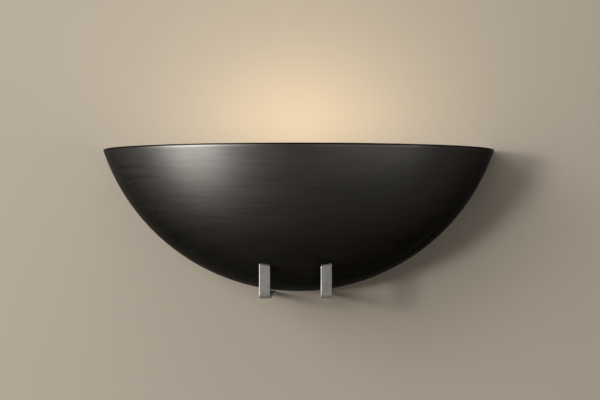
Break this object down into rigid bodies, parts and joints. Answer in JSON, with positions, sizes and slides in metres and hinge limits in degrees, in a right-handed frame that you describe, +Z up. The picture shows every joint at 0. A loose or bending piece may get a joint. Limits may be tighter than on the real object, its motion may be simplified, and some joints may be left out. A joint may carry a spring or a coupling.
{
  "type": "uplighter wall sconce",
  "caption": "Half-bowl metal uplighter that hangs on a wall plate and rests on two flat fingers, with a linear lamp in a reflector inside.",
  "frame": {"origin": "on the wall plane, midway between the two wall screws", "axes": "+X to the right as seen from the room, +Y into the wall, +Z up; the light stands towards -Y"},
  "size_m": [0.379, 0.1895, 0.1412],
  "materials": {
    "bowl": "brushed, dark bronze anodised",
    "fingers": "brushed nickel plate",
    "sheet": "zinc plated sheet",
    "fasteners": "bright zinc plate",
    "enamel": "satin white paint",
    "reflector": "bright anodised",
    "rubber": "matt black",
    "block": "matt thermoset",
    "brass": "plain brass",
    "tin": "tinned",
    "ceramic": "unglazed steatite",
    "quartz": "clear quartz",
    "filament": "lit tungsten wire",
    "spring": "spring steel",
    "sleeve_blue": "silicone sleeve",
    "sleeve_brown": "silicone sleeve",
    "sleeve_green": "silicone sleeve"
  },
  "bodies": {
    "root": {"wall_plate": "enamel", "plate_studs": "fasteners", "plate_nuts": "fasteners", "cable_grommet": "rubber", "left_finger": "fingers", "right_finger": "fingers", "finger_pads": "rubber", "terminal_block": "block", "terminal_inserts": "brass", "terminal_screws": "fasteners", "block_screws": "fasteners", "terminal_shield": "sheet", "earth_stud": "brass", "earth_tag": "tin", "earth_washer": "brass", "earth_nut": "brass", "lamp_arm": "sheet", "lamp_bracket": "sheet", "bracket_screws": "fasteners", "bracket_nuts": "fasteners", "reflector": "reflector", "reflector_rivets": "fasteners", "left_lampholder": "ceramic", "right_lampholder": "ceramic", "holder_screws": "fasteners", "fixed_contact": "brass", "contact_spring": "spring", "rear_terminal": "brass", "lead_ferrules": "tin", "live_lead": "sleeve_brown", "neutral_lead": "sleeve_blue", "earth_lead": "sleeve_green"},
    "bowl": {"bowl": "bowl", "hanging_strap": "sheet", "bowl_studs": "fasteners", "stud_washers": "fasteners", "stud_nuts": "fasteners"},
    "lamp": {"lamp_tube": "quartz", "lamp_caps": "ceramic", "lamp_contacts": "tin", "filament": "filament", "filament_supports": "filament"},
    "contact": {"sprung_contact": "brass"}
  },
  "joints": [
    {"name": "bowl_lift", "type": "slide", "parent": "root", "child": "bowl", "axis": [0, -0.8387, 0.5446], "range_m": [0, 0.25]},
    {"name": "lamp_push", "type": "slide", "parent": "root", "child": "lamp", "axis": [1, 0, 0], "range_m": [0, 0.004], "stiffness_N_per_m": 2000, "springref_m": -0.003},
    {"name": "contact_slide", "type": "slide", "parent": "root", "child": "contact", "axis": [1, 0, 0], "range_m": [0, 0.004], "deforming": ["contact_spring"]}
  ],
  "couplings": [
    {"joint": "contact_slide", "follows": "lamp_push", "ratio": 1}
  ]
}
